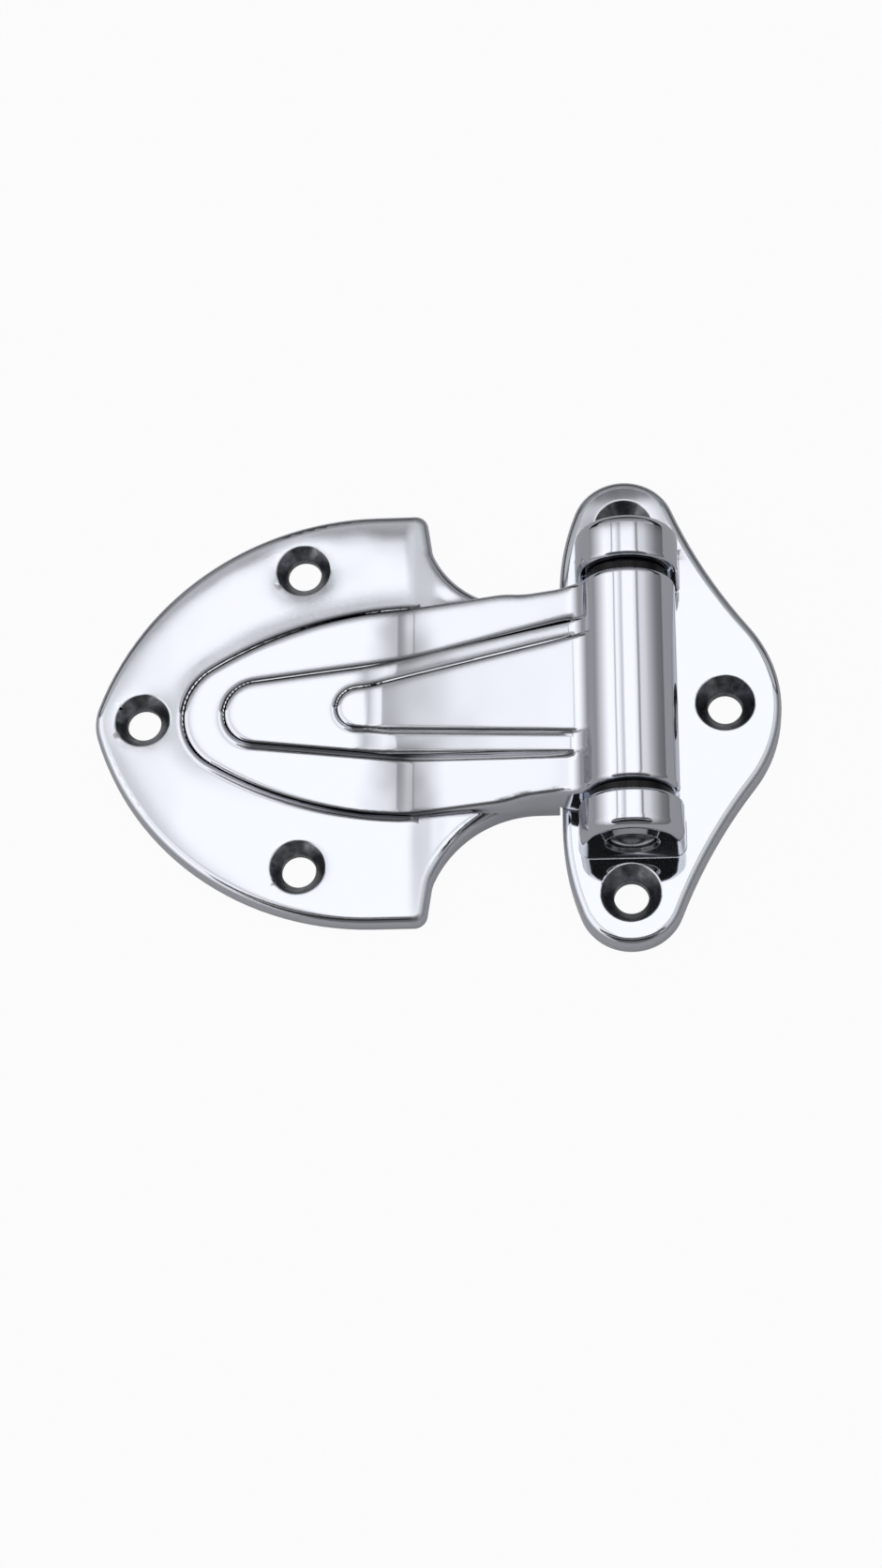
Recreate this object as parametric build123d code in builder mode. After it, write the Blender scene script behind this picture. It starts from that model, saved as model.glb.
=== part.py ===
"""Surface mount hinge, chromed castings, for a cold-room or cabinet door.

Frame: Z = 0 is the back plane of both leaves, the pin axis runs along Y above
the origin, the door strap points to -X.  All sizes in millimetres.
"""
import os
from math import atan2, cos, degrees, hypot, pi, radians, sin, sqrt, tan

from build123d import *

os.makedirs("parts", exist_ok=True)

# Pin, arm, barrel and knuckles
pin_dia = 11.1            # 7/16 in steel pin
axis_z = 15.5             # pin axis above the back plane
arm_half = 25.2           # half width of the arm
barrel_r = 11.3           # outside radius of the barrel
barrel_lead = 1.3         # the barrel stands this far past each side of the arm
knuckle_r = 12.1          # outside radius of the frame knuckles
knuckle_gap = 2.5         # barrel end to knuckle, room for the bush flange
upper_knuckle_out = 39.9  # outer faces of the two knuckles
lower_knuckle_out = 38.4
knuckle_flare = 0.3       # the knuckle widens this much at its foot
knuckle_end_round = 2.6
knuckle_gap_round = 1.1
pin_recess = 0.9          # rim of the pin end below the knuckle face
pin_dome = 0.8
pin_edge = 0.5
pin_seat_clear = 0.02     # pressed seat in the knuckles
pin_run_clear = 0.06      # running fit in the bushes
bore_chamfer = 0.7

# Bushes
bush_wall = 1.55
bush_length = 13.0
bush_flange_r = 9.7
bush_run_gap = 0.15       # flange face to knuckle face
bush_seat_clear = 0.02
bush_edge = 0.4

# Strap leaf, plan
strap_t = 4.6             # flange thickness
flank_r = 69.6            # side arcs of the arrowhead
flank_cx, flank_cy = -60.6, -17.1
nose_r = 13.0
barb_x, barb_low_x = -48.4, -46.9
barb_low_y = 42.4         # where the notch begins
barb_r = 3.2
barb_ease = 8.0
notch_r = 27.0
strap_end = -16.9         # end of the strap at the back plane
strap_edge_r = 2.1
ramp_x = -50.0            # the flange starts to rise toward the arm
ramp_rise = 3.6
ramp_end = -31.0
ramp_r = 12.0

# Raised body and its two terraces
body_z = 6.2              # top of the body above the back plane
terrace_1 = 1.7           # tops of the terraces above the body
terrace_2 = 3.0
body_flank_r = 92.0
body_flank_cx = -50.0
body_half = 26.8
body_nose_r = 14.6
flank_ease = 20.0         # where the body's sides meet the hollow notches
# where each layer leaves the level, and the arcs (radius, degrees) that lift it
body_rise_x = -63.5
body_arcs = ((245.0, 2.0), (19.0, 12.0), (230.0, 2.3))
terrace_1_rise_x = -66.0
terrace_1_arcs = ((50.0, 13.0),)
terrace_2_rise_x = -62.8
terrace_2_arcs = ((20.0, 12.8),)
barrel_blend = 7.0        # hollow between the arm and the barrel
neck_x, neck_length = -17.5, 6.5    # the arm widens to the barrel ends here
under_z = 6.4             # underside of the arm over the frame plate
ledge_z = 5.9             # parting ledge on the arm sides
ledge_in = 0.35           # the flange sides stand back above it
ledge_out = 0.65          # the arm above it is this much wider
ledge_length = 30.0
body_edge_r = 1.4         # also round the ends of the barrel
terrace_edge_r = 1.3
vee_1_nose, vee_1_r, vee_1_angle = -96.3, 8.2, 6.7
vee_2_nose, vee_2_r, vee_2_angle = -69.4, 5.4, 7.6

# Cored back of the strap
core_skin = 3.5
core_wall = 4.6
core_end = -21.5
core_round = 2.0

# Frame leaf, plan
plate_t = 5.9
plate_edge_r = 2.1
plate_left = -16.2
plate_left_half = 30.0
end_r = 12.5              # rounded ends around the end screws
side_r = 32.6             # broad round opposite the strap
side_cx = 3.0
waist_r = 130.0           # hollow flanks between them
trough_clear = 0.6        # relief in the plate below the barrel

# Countersunk screw holes, 1/4 in flat heads
screw_r = 4.05
strap_sink_r = 6.65
frame_sink_r = 7.05
sink_angle = 82.0
sink_round = 0.35         # edge of the countersinks after polishing
strap_tip_x = -116.0
strap_pair_x, strap_pair_y = -78.1, 38.2
strap_screws = ((strap_tip_x, 0), (strap_pair_x, strap_pair_y), (strap_pair_x, -strap_pair_y))
frame_end_x, frame_end_y = -0.6, 46.8
frame_side_x = 22.4

# Reach of the cutting bodies, clear of the whole part
beyond = 140.0
tall = 2 * (axis_z + knuckle_r)

barrel_half = arm_half + barrel_lead
knuckle_in = barrel_half + knuckle_gap
pin_r = pin_dia / 2
bush_in_r = pin_r + pin_run_clear
bush_out_r = bush_in_r + bush_wall
sleeve_r = bush_out_r + bush_seat_clear


def on_circle(cx, cy, r, angle):
    return (cx + r * cos(angle), cy + r * sin(angle))


def climb(start_x, start_z, arcs):
    """Point and angle that a level line reaches after the arcs."""
    x, z, angle = start_x, start_z, 0.0
    for radius, turn in arcs:
        after = angle + radians(turn)
        x += radius * (sin(after) - sin(angle))
        z += radius * (cos(angle) - cos(after))
        angle = after
    return x, z, angle


def arm_profile(low_z, start_x, arcs):
    """Side outline of one layer of the arm up to the barrel, on the XZ plane."""
    x, z, angle = climb(start_x, low_z, arcs)
    # the straight slope runs into the barrel through a hollow blend
    reach, slope = barrel_r + barrel_blend, tan(angle)
    lift = z - x * slope - axis_z + barrel_blend / cos(angle)
    a, b, c = 1 + slope**2, slope * lift, lift**2 - reach**2
    bx = (-b - sqrt(b * b - a * c)) / a
    bz = slope * bx + lift
    foot_angle, touch_angle = angle - pi / 2, atan2(-bz, -bx)
    foot = on_circle(bx, axis_z + bz, barrel_blend, foot_angle)
    mid = on_circle(bx, axis_z + bz, barrel_blend, (foot_angle + touch_angle) / 2)
    touch = on_circle(bx, axis_z + bz, barrel_blend, touch_angle)
    with BuildSketch(Plane.XZ) as side:
        with BuildLine():
            top = Line((-beyond, low_z), (start_x, low_z))
            for radius, turn in arcs:
                top = JernArc(top @ 1, top % 1, radius, turn)
            Line(top @ 1, foot)
            ThreePointArc(foot, mid, touch)
            Polyline(
                touch, (0, axis_z), (0, under_z), (strap_end, under_z),
                (strap_end, 0), (-beyond, 0), (-beyond, low_z),
            )
        make_face()
    return side.sketch


def bullet_outline(inset=0.0):
    """Plan of the raised body, round at the nose and open to the barrel."""
    r = body_flank_r - inset
    cy = body_half - body_flank_r
    tip_x = body_flank_cx - sqrt(r**2 - cy**2)
    top = (body_flank_cx, body_half - inset)
    mid = on_circle(body_flank_cx, cy, r, (pi / 2 + atan2(-cy, tip_x - body_flank_cx)) / 2)
    with BuildSketch() as plan:
        with BuildLine():
            ThreePointArc((tip_x, 0), mid, top)
            Polyline(top, (tall, top[1]), (tall, 0))
            mirror(about=Plane.XZ)
        make_face()
        fillet(plan.vertices().sort_by(Axis.X)[0], radius=body_nose_r - inset)
    return plan.sketch


def vee_outline(nose, radius, angle):
    """Wedge plan with a round nose, widening toward the barrel."""
    cx, a = nose + radius, radians(angle)
    start = (cx - radius * sin(a), radius * cos(a))
    mid = on_circle(cx, 0, radius, (pi + pi / 2 + a) / 2)
    end = (0, start[1] - start[0] * tan(a))
    with BuildSketch() as plan:
        with BuildLine():
            ThreePointArc((nose, 0), mid, start)
            Polyline(start, end, (0, 0))
            mirror(about=Plane.XZ)
        make_face()
    return plan.sketch


def strap_outline(inset=0.0):
    """Plan of the strap leaf: arrowhead, barbs, hollow notches and arm."""
    tip_x = flank_cx - sqrt(flank_r**2 - flank_cy**2)
    tip_angle = atan2(-flank_cy, tip_x - flank_cx)
    flank_top = (flank_cx, flank_cy + flank_r)
    flank_mid = on_circle(flank_cx, flank_cy, flank_r, (tip_angle + pi / 2) / 2)
    ncy = arm_half + notch_r
    ncx = barb_low_x + sqrt(notch_r**2 - (ncy - barb_low_y) ** 2)
    notch_angle = (atan2(barb_low_y - ncy, barb_low_x - ncx) - pi / 2) / 2
    barb_low = (barb_low_x, barb_low_y)
    with BuildSketch() as plan:
        with BuildLine():
            ThreePointArc((tip_x, 0), flank_mid, flank_top)
            Polyline(flank_top, (barb_x, flank_top[1]), barb_low)
            ThreePointArc(barb_low, on_circle(ncx, ncy, notch_r, notch_angle), (ncx, arm_half))
            Polyline((ncx, arm_half), (strap_end, arm_half), (strap_end, 0))
            mirror(about=Plane.XZ)
        make_face()
        fillet(plan.vertices().sort_by(Axis.X)[0], radius=nose_r)
        barbs = [v for v in plan.vertices() if abs(v.Y) > flank_top[1] - 0.01 and v.X > flank_cx + 1]
        fillet(barbs, radius=barb_r)
        kinks = [v for v in plan.vertices() if abs(abs(v.Y) - barb_low_y) < 0.01]
        fillet(kinks, radius=barb_ease)
        if inset:
            offset(amount=-inset)
    return plan.sketch


def neck_outline():
    """Plan of the arm's end, which widens to the full length of the barrel."""
    side = arm_half + ledge_out
    turn = 2 * atan2(barrel_half - side, neck_length)
    bend_r = neck_length / (2 * sin(turn))
    with BuildSketch() as plan:
        with BuildLine():
            Polyline((strap_end - neck_length, 0), (strap_end - neck_length, side), (neck_x, side))
            out = JernArc((neck_x, side), (1, 0), bend_r, degrees(turn))
            back = JernArc(out @ 1, out % 1, bend_r, -degrees(turn))
            Polyline(back @ 1, (tall, barrel_half), (tall, 0))
            mirror(about=Plane.XZ)
        make_face()
    return plan.sketch


def crown_edges(part, low, last_x):
    """Edges round the top of a layer, without the seams that cross it."""
    return [
        e for e in part.edges().filter_by(Axis.Z, reverse=True).filter_by(Axis.Y, reverse=True)
        if e.center().Z > low and e.center().X < last_x and abs(e.center().Z - under_z) > 0.01
    ]


# Raised body with arm and barrel, first layer
with BuildPart() as body_layer:
    with BuildSketch() as body_plan:
        add(strap_outline(-ledge_out))
        add(neck_outline())
        add(bullet_outline(), mode=Mode.INTERSECT)
        kinks = [
            v for v in body_plan.vertices()
            if abs(abs(v.Y) - body_half) < 0.01 and v.X > body_flank_cx + 1
        ]
        fillet(kinks, radius=flank_ease)
    extrude(amount=tall)
    with BuildSketch(Plane.XZ):
        add(arm_profile(body_z, body_rise_x, body_arcs))
        with Locations((0, axis_z)):
            Circle(barrel_r)
    extrude(amount=beyond, both=True, mode=Mode.INTERSECT)
    fillet(crown_edges(body_layer, body_z - 0.5, tall), radius=body_edge_r)
    # below the ledge the arm keeps inside the flange
    with BuildSketch():
        with Locations((strap_end, 0)):
            Rectangle(beyond, beyond, align=(Align.MAX, Align.CENTER))
        add(strap_outline(ledge_in), mode=Mode.SUBTRACT)
    extrude(amount=ledge_z, mode=Mode.SUBTRACT)
    # the screw heads stay clear of it
    with BuildSketch():
        with Locations(*strap_screws):
            Circle(strap_sink_r + sink_round)
    extrude(amount=tall, mode=Mode.SUBTRACT)

# Outer terrace on the body
with BuildPart() as terrace_outer:
    extrude(vee_outline(vee_1_nose, vee_1_r, vee_1_angle), amount=tall)
    extrude(arm_profile(body_z + terrace_1, terrace_1_rise_x, terrace_1_arcs), amount=beyond,
            both=True, mode=Mode.INTERSECT)
    fillet(crown_edges(terrace_outer, body_z + 0.5, -barrel_r * 0.7), radius=terrace_edge_r)

# Inner terrace
with BuildPart() as terrace_inner:
    extrude(vee_outline(vee_2_nose, vee_2_r, vee_2_angle), amount=tall)
    extrude(arm_profile(body_z + terrace_2, terrace_2_rise_x, terrace_2_arcs), amount=beyond,
            both=True, mode=Mode.INTERSECT)
    fillet(crown_edges(terrace_inner, body_z + 0.5, -barrel_r * 0.7), radius=terrace_edge_r)

# Hollow that lightens the back of the strap
with BuildPart() as strap_core:
    extrude(bullet_outline(core_wall), amount=tall)
    with BuildSketch(Plane.XZ):
        slope_x, slope_z, slope = climb(body_rise_x, body_z, body_arcs)
        roof_z = body_z - core_skin
        kink_x = slope_x - (slope_z - body_z) / tan(slope)
        end_z = roof_z + (core_end - kink_x) * tan(slope)
        with BuildLine():
            FilletPolyline(
                (-beyond, roof_z), (kink_x, roof_z), (core_end, end_z), (core_end, -1),
                radius=core_round,
            )
            Polyline((core_end, -1), (-beyond, -1), (-beyond, roof_z))
        make_face()
    extrude(amount=beyond, both=True, mode=Mode.INTERSECT)

# Door strap: one casting with flange, raised body, arm and barrel
with BuildPart() as strap_leaf:
    extrude(strap_outline(), amount=tall)
    with BuildSketch(Plane.XZ):
        with BuildLine():
            FilletPolyline(
                (-beyond, strap_t), (ramp_x, strap_t), (ramp_end, strap_t + ramp_rise),
                (strap_end, strap_t + ramp_rise), radius=ramp_r,
            )
            Polyline(
                (strap_end, strap_t + ramp_rise), (strap_end, 0), (-beyond, 0), (-beyond, strap_t)
            )
        make_face()
    extrude(amount=beyond, both=True, mode=Mode.INTERSECT)
    rim = [
        e for e in strap_leaf.edges().filter_by(Axis.Z, reverse=True).filter_by(Axis.Y, reverse=True)
        if e.center().Z > strap_t - 0.5
    ]
    fillet(rim, radius=strap_edge_r)
    # the flange sides above the parting ledge stand back a little
    with BuildSketch(Plane.XY.offset(ledge_z)):
        with Locations((strap_end - ledge_length / 2, 0)):
            Rectangle(ledge_length + 10, beyond)
        add(strap_outline(ledge_in), mode=Mode.SUBTRACT)
    extrude(amount=tall, mode=Mode.SUBTRACT)
    with Locations(Plane.XY.offset(strap_t)):
        with Locations(*strap_screws):
            CounterSinkHole(screw_r, strap_sink_r, counter_sink_angle=sink_angle)
    rims = strap_leaf.edges().filter_by(GeomType.CIRCLE).filter_by(
        lambda e: abs(e.radius - strap_sink_r) < 0.01 and abs(e.center().Z - strap_t) < 0.01
    )
    fillet(rims, radius=sink_round)
    add(body_layer.part)
    add(terrace_outer.part)
    add(terrace_inner.part)
    add(strap_core.part, mode=Mode.SUBTRACT)
    # bore for the bushes
    with BuildSketch(Plane.XZ.offset(-barrel_half)):
        with Locations((0, axis_z)):
            Circle(sleeve_r)
    extrude(amount=2 * barrel_half, mode=Mode.SUBTRACT)


def plate_outline():
    """Plan of the frame leaf: broad round side, hollow flanks, round ends."""
    ax, ex, ey = side_cx, frame_end_x, frame_end_y
    d = hypot(ex - ax, ey)
    ux, uy = (ex - ax) / d, ey / d
    to_a, to_e = side_r + waist_r, end_r + waist_r
    along = (to_a**2 - to_e**2 + d**2) / (2 * d)
    across = sqrt(to_a**2 - along**2)
    wx, wy = ax + along * ux + across * uy, along * uy - across * ux
    ang_a, ang_e = atan2(wy, wx - ax), atan2(wy - ey, wx - ex)
    right = on_circle(ax, 0, side_r, ang_a)
    end_right = on_circle(ex, ey, end_r, ang_e)
    waist = on_circle(wx, wy, waist_r, pi + (ang_a + ang_e) / 2)
    gap_x, gap_y = plate_left - ex, plate_left_half - ey
    left_r = (end_r**2 - gap_x**2 - gap_y**2) / (2 * gap_x + 2 * end_r)
    lx = plate_left + left_r
    ang_l = atan2(ey - plate_left_half, ex - lx)
    end_left = on_circle(ex, ey, end_r, ang_l)
    with BuildSketch() as plan:
        with BuildLine():
            ThreePointArc((ax + side_r, 0), on_circle(ax, 0, side_r, ang_a / 2), right)
            ThreePointArc(right, waist, end_right)
            ThreePointArc(end_right, on_circle(ex, ey, end_r, (ang_e + ang_l) / 2), end_left)
            ThreePointArc(
                end_left, on_circle(lx, plate_left_half, left_r, (ang_l + pi) / 2),
                (plate_left, plate_left_half),
            )
            Line((plate_left, plate_left_half), (plate_left, 0))
            mirror(about=Plane.XZ)
        make_face()
    return plan.sketch


def knuckle_face():
    """Arch of a knuckle with its sides running down to the plate."""
    foot = plate_t - 2.0
    wide = knuckle_r + knuckle_flare
    with BuildSketch(Plane.XZ) as side:
        with BuildLine():
            ThreePointArc((-knuckle_r, axis_z), (0, axis_z + knuckle_r), (knuckle_r, axis_z))
            Polyline(
                (knuckle_r, axis_z), (wide, plate_t), (wide, foot),
                (-wide, foot), (-wide, plate_t), (-knuckle_r, axis_z),
            )
        make_face()
    return side.sketch


# Upper and lower knuckle before they join the plate
with BuildPart() as knuckles:
    for end, face_y in ((1, upper_knuckle_out), (-1, lower_knuckle_out)):
        with Locations((0, end * (knuckle_in + face_y) / 2, 0)):
            half_width = (face_y - knuckle_in) / 2
            add(extrude(knuckle_face(), amount=half_width, both=True, mode=Mode.PRIVATE))
    for face_y, edge_r in (
        (upper_knuckle_out, knuckle_end_round), (-lower_knuckle_out, knuckle_end_round),
        (knuckle_in, knuckle_gap_round), (-knuckle_in, knuckle_gap_round),
    ):
        arch = [
            e for e in knuckles.edges().filter_by(Axis.Y, reverse=True)
            if abs(e.center().Y - face_y) < 0.01 and e.center().Z > plate_t + 1
        ]
        fillet(arch, radius=edge_r)

# Frame leaf: one casting, plate with both knuckles
with BuildPart() as frame_leaf:
    extrude(plate_outline(), amount=plate_t)
    fillet(frame_leaf.faces().sort_by(Axis.Z)[-1].edges(), radius=plate_edge_r)
    with BuildSketch(Plane.XZ.offset(-knuckle_in)):
        with Locations((0, axis_z)):
            Circle(barrel_r + trough_clear)
    extrude(amount=2 * knuckle_in, mode=Mode.SUBTRACT)
    add(knuckles.part)
    with BuildSketch(Plane.XZ):
        with Locations((0, axis_z)):
            Circle(pin_r + pin_seat_clear)
    extrude(amount=beyond, both=True, mode=Mode.SUBTRACT)
    mouths = frame_leaf.edges().filter_by(GeomType.CIRCLE).filter_by(
        lambda e: abs(e.radius - pin_r - pin_seat_clear) < 0.01
        and abs(e.center().Y - (upper_knuckle_out - lower_knuckle_out) / 2)
        > (upper_knuckle_out + lower_knuckle_out) / 2 - 0.01
    )
    chamfer(mouths, length=bore_chamfer)
    with Locations(Plane.XY.offset(plate_t)):
        with Locations(
            (frame_end_x, frame_end_y), (frame_end_x, -frame_end_y), (frame_side_x, 0)
        ):
            CounterSinkHole(screw_r, frame_sink_r, counter_sink_angle=sink_angle)
    rims = frame_leaf.edges().filter_by(GeomType.CIRCLE).filter_by(
        lambda e: abs(e.radius - frame_sink_r) < 0.01 and abs(e.center().Z - plate_t) < 0.01
    )
    fillet(rims, radius=sink_round)

# Pin, pressed into both knuckles, its ends slightly domed
with BuildPart() as hinge_pin:
    upper_rim, lower_rim = upper_knuckle_out - pin_recess, pin_recess - lower_knuckle_out
    crown_r = pin_r - pin_edge
    ball_r = (crown_r**2 + pin_dome**2) / (2 * pin_dome)
    bulge = pin_dome - ball_r + sqrt(ball_r**2 - crown_r**2 / 4)
    with BuildSketch(Plane.XY.offset(axis_z)):
        with BuildLine():
            ThreePointArc(
                (0, lower_rim - pin_dome), (crown_r / 2, lower_rim - bulge), (crown_r, lower_rim)
            )
            Polyline(
                (crown_r, lower_rim), (pin_r, lower_rim + pin_edge),
                (pin_r, upper_rim - pin_edge), (crown_r, upper_rim),
            )
            ThreePointArc(
                (crown_r, upper_rim), (crown_r / 2, upper_rim + bulge), (0, upper_rim + pin_dome)
            )
            Line((0, upper_rim + pin_dome), (0, lower_rim - pin_dome))
        make_face()
    revolve(axis=Axis((0, 0, axis_z), (0, 1, 0)))


def bush_section(end):
    """Half section of a flanged bush at the upper (1) or lower (-1) end."""
    inner_y, face_y = barrel_half - bush_length, knuckle_in - bush_run_gap
    with BuildSketch(Plane.XY.offset(axis_z)) as half:
        with BuildLine():
            Polyline(
                (bush_in_r, end * inner_y), (bush_out_r, end * inner_y),
                (bush_out_r, end * barrel_half), (bush_flange_r, end * barrel_half),
                (bush_flange_r, end * face_y), (bush_in_r, end * face_y), close=True,
            )
        make_face()
        lip = [v for v in half.vertices() if abs(v.X - bush_flange_r) < 0.01]
        fillet(lip, radius=bush_edge)
    return half.sketch


# Flanged nylon bushes in the barrel ends
with BuildPart() as upper_bush:
    revolve(bush_section(1), axis=Axis((0, 0, axis_z), (0, 1, 0)))

with BuildPart() as lower_bush:
    revolve(bush_section(-1), axis=Axis((0, 0, axis_z), (0, 1, 0)))

for name, piece in (
    ("strap_leaf", strap_leaf), ("frame_leaf", frame_leaf), ("hinge_pin", hinge_pin),
    ("upper_bush", upper_bush), ("lower_bush", lower_bush),
):
    piece.part.label = name
    export_step(piece.part, f"parts/{name}.step")
    print(name, piece.part.is_valid, len(piece.part.solids()), round(piece.part.volume))
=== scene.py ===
"""Surface mount hinge on a pale floor: chrome, steel and nylon in a soft studio."""
from math import degrees, radians

import bmesh
import bpy
from mathutils import Matrix, Vector


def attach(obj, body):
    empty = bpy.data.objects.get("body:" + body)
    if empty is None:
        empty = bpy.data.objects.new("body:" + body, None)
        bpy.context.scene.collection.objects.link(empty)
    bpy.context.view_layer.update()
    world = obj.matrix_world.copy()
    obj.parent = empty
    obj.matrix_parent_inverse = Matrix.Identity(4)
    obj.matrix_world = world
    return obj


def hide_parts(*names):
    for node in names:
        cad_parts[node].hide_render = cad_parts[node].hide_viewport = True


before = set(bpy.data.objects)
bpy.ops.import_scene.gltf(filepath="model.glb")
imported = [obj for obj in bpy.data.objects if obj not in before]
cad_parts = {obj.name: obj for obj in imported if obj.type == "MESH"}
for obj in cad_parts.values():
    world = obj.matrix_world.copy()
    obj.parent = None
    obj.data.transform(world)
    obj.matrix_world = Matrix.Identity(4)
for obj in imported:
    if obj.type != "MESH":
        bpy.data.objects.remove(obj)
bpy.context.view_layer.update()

# Camera, fitted to the photograph
image_h = 1672
camera_at = Vector((0.005117, -0.287204, 0.674630))
camera_right = Vector((0.99732, 0.00215, -0.07315))
camera_up = Vector((0.02519, 0.92842, 0.37069))
camera_back = Vector((0.06871, -0.37154, 0.92587))
focal_px = 3291.56
sensor_mm = 36.0
clip_start = 0.01

# Studio: a vault of diffusers along Y, as (angle across the pin, light) pairs.
# Seams between the diffusers give the thin dark lines.
vault = [
    (-105, 0.62), (-97, 0.40), (-88, 0.42), (-81, 0.57), (-73, 0.82), (-65, 1.07), (-57, 1.38),
    (-49, 1.62), (-40, 1.60), (-34, 1.55), (-31.5, 0.42), (-29.5, 1.45), (-25, 1.62), (-20, 1.30),
    (-14.5, 0.88), (-12, 1.15), (-9.6, 1.60), (12, 1.60), (19, 1.35), (24, 0.30),
    (28.5, 1.15), (40, 1.05), (48, 0.79), (56, 0.60), (64, 0.43), (72, 0.30), (88, 0.22), (100, 0.20),
]
vault_span = 240.0                     # degrees that the vault's ramp covers
vault_peak = 2.0                       # light of a ramp colour of 1
# End wall on the far side, along y, which is the sine of the angle from above
far_edge, far_seam = 0.447, 0.004
far_wall = [(0.45, 0.14), (0.49, 0.74), (0.60, 0.58), (0.70, 0.24), (0.80, 0.50), (0.92, 0.10)]
far_corner, far_fade = 62, 12          # the end wall goes dark beyond this angle
# The camera's side is dark but for one strip, with grey corners and a grey foot, along y + 1
near_edge, near_drop, near_soft = -0.275, 0.62, 0.045
near_narrow, near_wide = 35, 70        # between these angles the dark side ends lower
near_dark, near_grey = 0.015, 0.07
near_corners = 28, 38
near_strip = [
    (0.08, 0.20), (0.15, 0.12), (0.20, near_dark),
    (0.40, near_dark), (0.435, 0.80), (0.475, 0.80), (0.51, near_dark),
]

# Floor: half its side, its paper, and the share of plain white that the camera and the chrome see
floor_half = 1.5
floor_paper = (0.50, 0.50, 0.51, 1)
floor_seen, floor_mirrored = 0.95, 0.12

# Countersinks: centres, and the radius inside which the plating stays dull
strap_screws = [(-0.116, 0), (-0.0781, 0.0382), (-0.0781, -0.0382)]
frame_screws = [(-0.0006, 0.0468), (-0.0006, -0.0468), (0.0224, 0)]
strap_sink_r, frame_sink_r, sink_soft = 0.00665, 0.00705, 0.0003

# Chrome: places on the leaves, as (from, to) pairs for soft limits
pin_z = 0.0155
bore_r = 0.0061, 0.0064
barrel_x = 0.0115, 0.0145              # beyond it the strap's surfaces are crowned
raised_z = 0.0050, 0.0060              # above it are the body, the arm and the knuckles
rise_x, rise_reach = 0.0493, (0.0010, 0.0045)      # where the flange starts to rise, at -x
# where the painted shade band lies across the arm's bend, how far it reaches, and how much its edge
# wanders
bend_x, bend_reach, bend_wander = 0.0535, (0.0, 0.0100), 0.012
terrace_y = 0.0090, 0.0125
wave_height = 0.00012
rough_low, rough_high, rough_sink, rough_rise = 0.03, 0.07, 0.20, 0.32
# dull share in the sinks from low to high, then the strength of the painted shade across the arm's bend,
# and its share on the terraces
veil_low, veil_high, bend_painted_shade, terrace_painted_shade = 0.55, 0.85, 0.50, 0.25
# plain chrome, and the dark tint of the dull sinks and of the painted shade
chrome_tint, dull_and_shade_tint = (0.585, 0.600, 0.650, 1), (0.03, 0.03, 0.03, 1)

# Fillets of the strap's skin, and the feet of the raised layers that get them
skin_fillet, skin_inner_fillet, fillet_segments = 0.0015, 0.0011, 6
weld = 1e-6
foot_turn = -radians(50)               # hollow edges at least this sharp
foot_z, foot_x = 0.003, -0.0125        # above the back, and short of the barrel
arm_y, ramp_x = 0.0235, -0.0502        # not where the arm stands free of the flange
inner_nose, inner_half, inner_spread, inner_from = -0.075, 0.0088, 0.125, 0.060
old_normal_turn, fillet_turn = radians(35), radians(55)
beyond = radians(90)                   # angle given to a face without a normal


class Nodes:
    """A node tree written as nested calls: each call returns an output socket."""

    def __init__(self, tree):
        self.tree = tree
        tree.nodes.clear()

    def add(self, kind, inputs=None, out=0, **settings):
        node = self.tree.nodes.new(kind)
        for name, value in settings.items():
            setattr(node, name, value)
        for key, value in (inputs or {}).items():
            if isinstance(value, bpy.types.NodeSocket):
                self.tree.links.new(value, node.inputs[key])
            else:
                node.inputs[key].default_value = value
        return node.outputs[out]

    def math(self, operation, a, b=0.0):
        return self.add("ShaderNodeMath", {0: a, 1: b}, operation=operation)

    def mix(self, fac, a, b):
        """Blend of two numbers."""
        return self.add("ShaderNodeMix", {0: fac, 2: a, 3: b})

    def smooth(self, value, low, high):
        """0 below low, 1 above high."""
        inputs = {0: value, 1: low, 2: high}
        return self.add("ShaderNodeMapRange", inputs, interpolation_type="SMOOTHSTEP")

    def inverse(self, value):
        return self.math("SUBTRACT", 1.0, value)

    def vector(self, operation, inputs, out=0):
        return self.add("ShaderNodeVectorMath", inputs, out=out, operation=operation)

    def split(self, vector):
        node = self.tree.nodes.new("ShaderNodeSeparateXYZ")
        self.tree.links.new(vector, node.inputs[0])
        return node.outputs

    def place(self):
        """Point in the piece's own frame, in metres."""
        return self.add("ShaderNodeTexCoord", out=3)

    def noise(self, scale, detail=2.0):
        return self.add("ShaderNodeTexNoise", {"Vector": self.place(), "Scale": scale, "Detail": detail})

    def ramp(self, fac, stops, mode="EASE"):
        node = self.tree.nodes.new("ShaderNodeValToRGB")
        node.color_ramp.interpolation = mode
        elements = node.color_ramp.elements
        while len(elements) < len(stops):
            elements.new(1.0)
        for element, (place, grey) in zip(elements, stops):
            element.position = place
            element.color = (grey, grey, grey, 1.0)
        self.tree.links.new(fac, node.inputs["Fac"])
        return node.outputs["Color"]

    def surface(self, shader, out):
        self.tree.links.new(shader, out.inputs["Surface"])


def camera():
    data = bpy.data.cameras.new("camera")
    data.sensor_fit = "VERTICAL"
    data.sensor_height = sensor_mm
    data.lens = focal_px * sensor_mm / image_h
    data.clip_start = clip_start
    cam = bpy.data.objects.new("camera", data)
    rotation = Matrix((camera_right, camera_up, camera_back)).transposed().to_4x4()
    cam.matrix_world = Matrix.Translation(camera_at) @ rotation
    bpy.context.collection.objects.link(cam)
    bpy.context.scene.camera = cam


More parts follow.
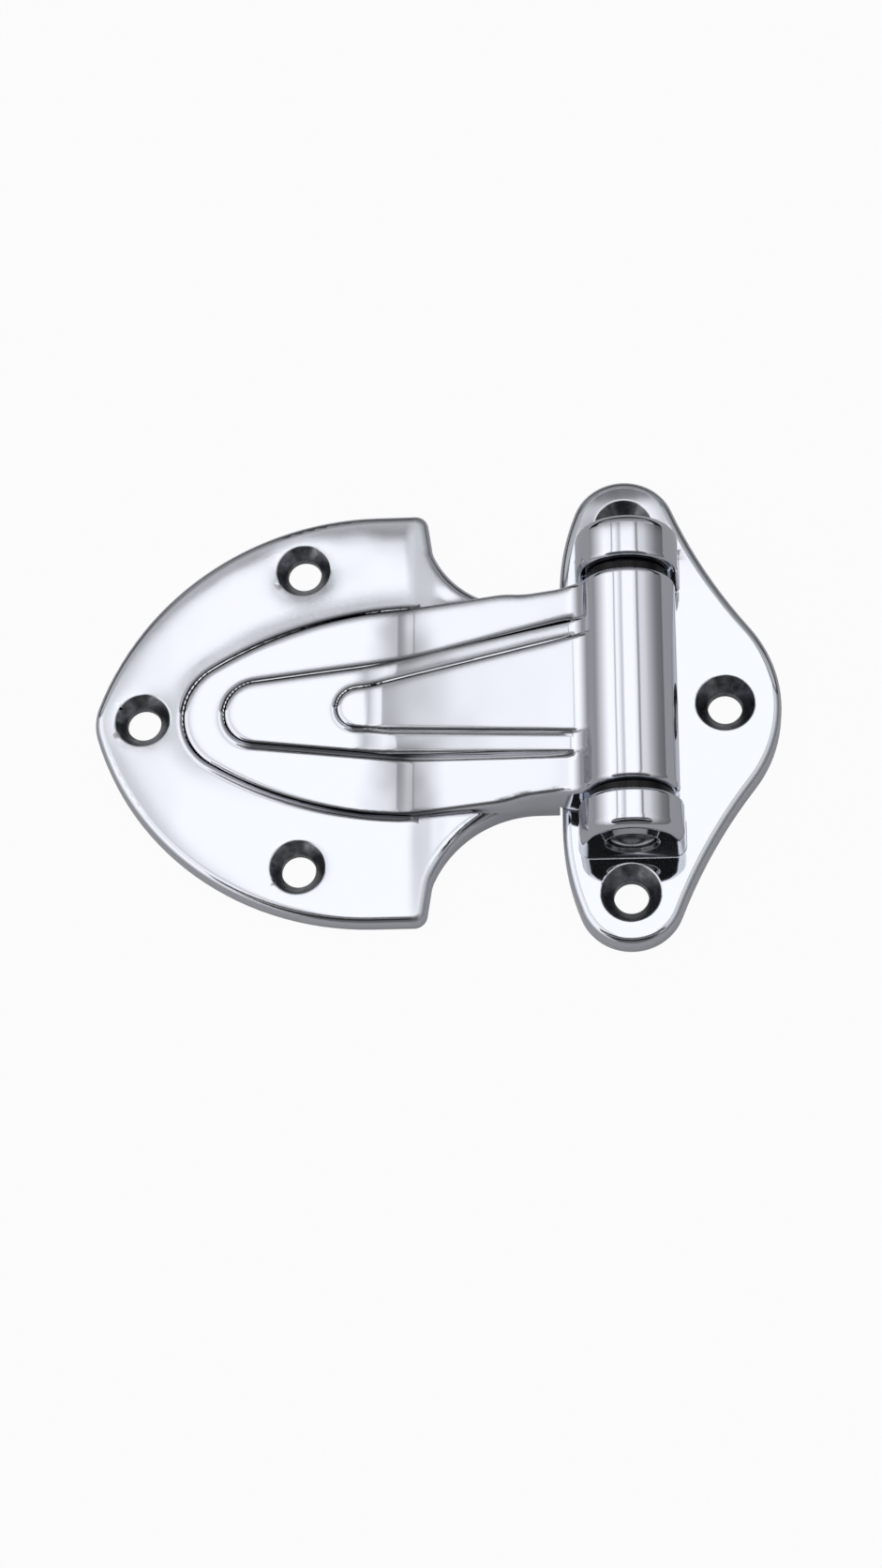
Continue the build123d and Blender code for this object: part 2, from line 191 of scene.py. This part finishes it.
def studio_world():
    world = bpy.data.worlds.new("studio")
    bpy.context.scene.world = world
    world.use_nodes = True
    n = Nodes(world.node_tree)
    x, y, z = n.split(n.add("ShaderNodeTexCoord", out=0))
    across = n.math("MULTIPLY", n.math("ARCTAN2", x, z), degrees(1))
    side = n.math("ABSOLUTE", across)
    along_vault = n.math("ADD", n.math("DIVIDE", across, vault_span), 0.5)
    stops = [(0.5 + angle / vault_span, light / vault_peak) for angle, light in vault]
    roof = n.math("MULTIPLY", n.ramp(along_vault, stops, "LINEAR"), vault_peak)
    # end wall, darker behind the joint with the vault and again near the ground
    wall = n.ramp(y, far_wall)
    wall = n.mix(n.smooth(side, far_corner, far_corner + far_fade), wall, near_dark)
    light = n.mix(n.smooth(y, far_edge, far_edge + far_seam), roof, wall)
    # the camera's side stays dark, and narrows toward the sides
    narrow = n.smooth(side, near_narrow, near_wide)
    edge = n.math("SUBTRACT", near_edge, n.math("MULTIPLY", narrow, near_drop))
    dark = n.smooth(n.math("SUBTRACT", edge, y), 0.0, near_soft)
    strip = n.ramp(n.math("ADD", y, 1.0), near_strip)
    corners = n.math("MULTIPLY", n.smooth(side, *near_corners), near_grey)
    light = n.mix(dark, light, n.math("MAXIMUM", strip, corners))
    path = n.tree.nodes.new("ShaderNodeLightPath")
    studio = n.add("ShaderNodeBackground", {"Color": (1, 1, 1, 1), "Strength": light})
    white = n.add("ShaderNodeBackground", {"Color": (1, 1, 1, 1), "Strength": 1.0})
    mixed = n.add("ShaderNodeMixShader", {0: path.outputs["Is Camera Ray"], 1: studio, 2: white})
    n.surface(mixed, n.tree.nodes.new("ShaderNodeOutputWorld"))


def material(name):
    mat = bpy.data.materials.new(name)
    mat.use_nodes = True
    n = Nodes(mat.node_tree)
    out = n.tree.nodes.new("ShaderNodeOutputMaterial")
    return mat, n, out


def floor():
    corners = [(-floor_half, -floor_half, 0), (floor_half, -floor_half, 0)]
    corners += [(floor_half, floor_half, 0), (-floor_half, floor_half, 0)]
    mesh = bpy.data.meshes.new("floor")
    mesh.from_pydata(corners, [], [(0, 1, 2, 3)])
    obj = bpy.data.objects.new("floor", mesh)
    bpy.context.collection.objects.link(obj)
    mat, n, out = material("floor")
    path = n.tree.nodes.new("ShaderNodeLightPath")
    paper = n.add("ShaderNodeBsdfDiffuse", {"Color": floor_paper})
    white = n.add("ShaderNodeEmission", {"Color": (1, 1, 1, 1), "Strength": 1.0})
    seen = n.math("MULTIPLY", path.outputs["Is Camera Ray"], floor_seen)
    mirrored = n.math("MULTIPLY", path.outputs["Is Glossy Ray"], floor_mirrored)
    n.surface(n.add("ShaderNodeMixShader", {0: n.math("ADD", seen, mirrored), 1: paper, 2: white}), out)
    obj.data.materials.append(mat)


def polished(n, crease, reach, crown):
    """Normal of a buffed surface: creases softened, and flats that fall away toward their edges."""
    near = n.add("ShaderNodeBevel", {"Radius": crease}, samples=6)
    wide = n.add("ShaderNodeBevel", {"Radius": reach}, samples=8)
    wide = n.vector("SCALE", {0: wide, 3: crown})
    return n.vector("NORMALIZE", {0: n.vector("ADD", {0: near, 1: wide})})


def sink_mask(n, screws, sink_r):
    """1 inside the countersinks, where the plating stays dull, 0 outside."""
    flat = n.vector("MULTIPLY", {0: n.place(), 1: (1, 1, 0)})
    nearest = 1.0
    for x, y in screws:
        away = n.vector("DISTANCE", {0: flat, 1: (x, y, 0)}, out=1)
        nearest = n.math("MINIMUM", away, nearest)
    return n.inverse(n.smooth(nearest, sink_r - sink_soft, sink_r))


def bore_mask(n, x, z):
    """1 inside the pin's bores, 0 outside."""
    off = n.math("POWER", n.math("SUBTRACT", z, pin_z), 2.0)
    off = n.math("SQRT", n.math("ADD", n.math("POWER", x, 2.0), off))
    return n.inverse(n.smooth(off, *bore_r))


def chrome_finish(n, out, sink, normal, rough, painted_shade):
    """Mirror plate: dark in the sinks and under a painted shade band where one is given, with long
    shallow waves.
    """
    waves = n.add("ShaderNodeBump", {
        "Strength": 1.0, "Distance": wave_height, "Height": n.noise(45.0, 1.0), "Normal": normal,
    })
    dust = n.add("ShaderNodeMapRange", {0: n.noise(500.0), 1: 0.3, 2: 0.7, 3: veil_low, 4: veil_high})
    dull_and_painted_shade = n.math("MULTIPLY", sink, dust)
    # the painted shade band, where given, darkens the plate beyond the dull sinks
    if painted_shade is not None:
        dull_and_painted_shade = n.math("MAXIMUM", dull_and_painted_shade, painted_shade)
    inputs = {0: dull_and_painted_shade, 6: chrome_tint, 7: dull_and_shade_tint}
    tint = n.add("ShaderNodeMix", inputs, out=2, data_type="RGBA")
    n.surface(n.add("ShaderNodeBsdfPrincipled", {
        "Base Color": tint, "Metallic": 1.0, "Roughness": rough, "Normal": waves,
    }), out)


def chrome_rough(n, sink):
    rough = n.add("ShaderNodeMapRange", {0: n.noise(160.0), 3: rough_low, 4: rough_high})
    return n.mix(sink, rough, rough_sink)


def frame_chrome():
    mat, n, out = material("frame_chrome")
    x, y, z = n.split(n.place())
    sink = n.math("MAXIMUM", sink_mask(n, frame_screws, frame_sink_r), bore_mask(n, x, z))
    # the knuckles stay crisp, the flats are crowned
    flat = n.inverse(n.smooth(z, *raised_z))
    normal = polished(n, n.mix(flat, 0.0003, 0.0010), 0.006, n.math("MULTIPLY", flat, 0.05))
    chrome_finish(n, out, sink, normal, chrome_rough(n, sink), None)
    return mat


def strap_chrome():
    mat, n, out = material("strap_chrome")
    x, y, z = n.split(n.place())
    sink = sink_mask(n, strap_screws, strap_sink_r)
    # the barrel stays crisp, the flats are crowned
    flat = n.smooth(n.math("ABSOLUTE", x), *barrel_x)
    raised = n.smooth(z, *raised_z)
    normal = polished(n, 0.0006, n.mix(raised, 0.009, 0.0035), n.math("MULTIPLY", flat, 0.10))
    # soft polish where the flange starts to rise
    rise = n.math("ABSOLUTE", n.math("ADD", x, rise_x))
    rise = n.math("MULTIPLY", n.inverse(n.smooth(rise, *rise_reach)), n.inverse(raised))
    rough = n.mix(rise, chrome_rough(n, sink), rough_rise)
    # painted shade: a dark reflection band painted across the arm's bend, weakest on the terraces
    blur = n.math("MULTIPLY", n.math("SUBTRACT", n.noise(60.0), 0.5), bend_wander)
    painted_band = n.math("ABSOLUTE", n.math("ADD", n.math("ADD", x, bend_x), blur))
    painted_band = n.inverse(n.smooth(painted_band, *bend_reach))
    strips = n.smooth(n.math("ABSOLUTE", y), *terrace_y)
    painted_band = n.math("MULTIPLY", painted_band, n.mix(strips, terrace_painted_shade, 1.0))
    painted_shade = n.math("MULTIPLY", n.math("MULTIPLY", painted_band, raised), bend_painted_shade)
    chrome_finish(n, out, sink, normal, rough, painted_shade)
    return mat


def pin_steel():
    mat, n, out = material("pin_steel")
    n.surface(n.add("ShaderNodeBsdfPrincipled", {
        "Base Color": (0.26, 0.26, 0.28, 1), "Metallic": 1.0,
        "Roughness": n.add("ShaderNodeMapRange", {0: n.noise(700.0), 3: 0.14, 4: 0.26}),
        "Normal": n.add("ShaderNodeBevel", {"Radius": 0.0008}, samples=8),
    }), out)
    return mat


def nylon():
    mat, n, out = material("nylon")
    n.surface(n.add("ShaderNodeBsdfPrincipled", {
        "Base Color": (0.004, 0.004, 0.005, 1), "Specular IOR Level": 0.18,
        "Roughness": n.add("ShaderNodeMapRange", {0: n.noise(900.0), 3: 0.14, 4: 0.24}),
    }), out)
    return mat


def corner_normals(bm, kept, fillets):
    """The old faces keep the normals of the casting, and the fillets run into them smoothly."""
    fillets = set(fillets)
    normals = []
    for face in bm.faces:
        for loop in face.loops:
            if face not in fillets:
                normal = loop[kept]
                normals.append(normal.normalized() if normal.length > 0.5 else face.normal.copy())
                continue
            best, closest, total = None, old_normal_turn, Vector()
            for other in loop.vert.link_loops:
                if other.face in fillets:
                    if face.normal.angle(other.face.normal, beyond) < fillet_turn:
                        total += other.face.normal
                elif face.normal.angle(other[kept], beyond) < closest:
                    best, closest = other[kept], face.normal.angle(other[kept])
            normals.append((best or total).normalized())
    return normals


def raised_feet(bm):
    """Hollow edges at the foot of the body and the outer terrace, and those of the inner terrace."""
    outer, inner = [], []
    for edge in bm.edges:
        if len(edge.link_faces) != 2 or edge.calc_face_angle_signed() >= foot_turn:
            continue
        middle = (edge.verts[0].co + edge.verts[1].co) / 2
        if middle.z <= foot_z or middle.x >= foot_x:
            continue
        if abs(middle.y) < arm_y or middle.x < ramp_x:
            half = inner_half + inner_spread * (middle.x + inner_from)
            on_inner = middle.x > inner_nose and abs(middle.y) < half
            (inner if on_inner else outer).append(edge)
    return outer, inner


def in_order(bm, kept, normals):
    """Number verts and faces by where they are: the bevel's own order changes from run to run."""
    loops = (loop for face in bm.faces for loop in face.loops)
    for loop, normal in zip(loops, normals):
        loop[kept] = normal
    for elements, where in (
        (bm.verts, lambda vert: tuple(vert.co)),
        (bm.faces, lambda face: tuple(face.calc_center_median())),
    ):
        rank = {element: i for i, element in enumerate(sorted(elements, key=where))}
        elements.sort(key=rank.get)
    return [loop[kept].copy() for face in bm.faces for loop in face.loops]


def softened(cad, name):
    """Copy of the strap with small hollow fillets where its raised layers meet the flats below."""
    source = cad.data
    mesh = bpy.data.meshes.new(name)
    bm = bmesh.new()
    bm.from_mesh(source)
    kept = bm.loops.layers.float_vector.new("kept")
    for face, poly in zip(bm.faces, source.polygons):
        for loop, corner in zip(face.loops, poly.loop_indices):
            loop[kept] = source.corner_normals[corner].vector
    bmesh.ops.remove_doubles(bm, verts=bm.verts, dist=weld)
    outer, inner = raised_feet(bm)
    fillets = []
    for edges, offset in ((outer, skin_fillet), (inner, skin_inner_fillet)):
        made = bmesh.ops.bevel(
            bm, geom=edges, offset=offset, segments=fillet_segments, profile=0.5, affect="EDGES",
            offset_type="OFFSET", clamp_overlap=False,
        )
        fillets += made["faces"]
    bm.normal_update()
    for face in bm.faces:
        face.smooth = True
    normals = corner_normals(bm, kept, [f for f in fillets if f.is_valid])
    normals = in_order(bm, kept, normals)
    bm.to_mesh(mesh)
    bm.free()
    mesh.normals_split_custom_set(normals)
    obj = bpy.data.objects.new(name, mesh)
    bpy.context.collection.objects.link(obj)
    obj.matrix_world = cad.matrix_world
    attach(obj, "strap")
    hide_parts(cad.name)
    return obj


camera()
studio_world()
floor()
black = nylon()
looks = {
    "strap_leaf": strap_chrome(),
    "frame_leaf": frame_chrome(),
    "hinge_pin": pin_steel(),
    "upper_bush": black,
    "lower_bush": black,
}
for name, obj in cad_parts.items():
    for slot in obj.material_slots:
        slot.material = looks[name]
skin = softened(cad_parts["strap_leaf"], "strap_skin")
skin.data.materials.append(looks["strap_leaf"])

bpy.context.scene.view_settings.view_transform = "Standard"
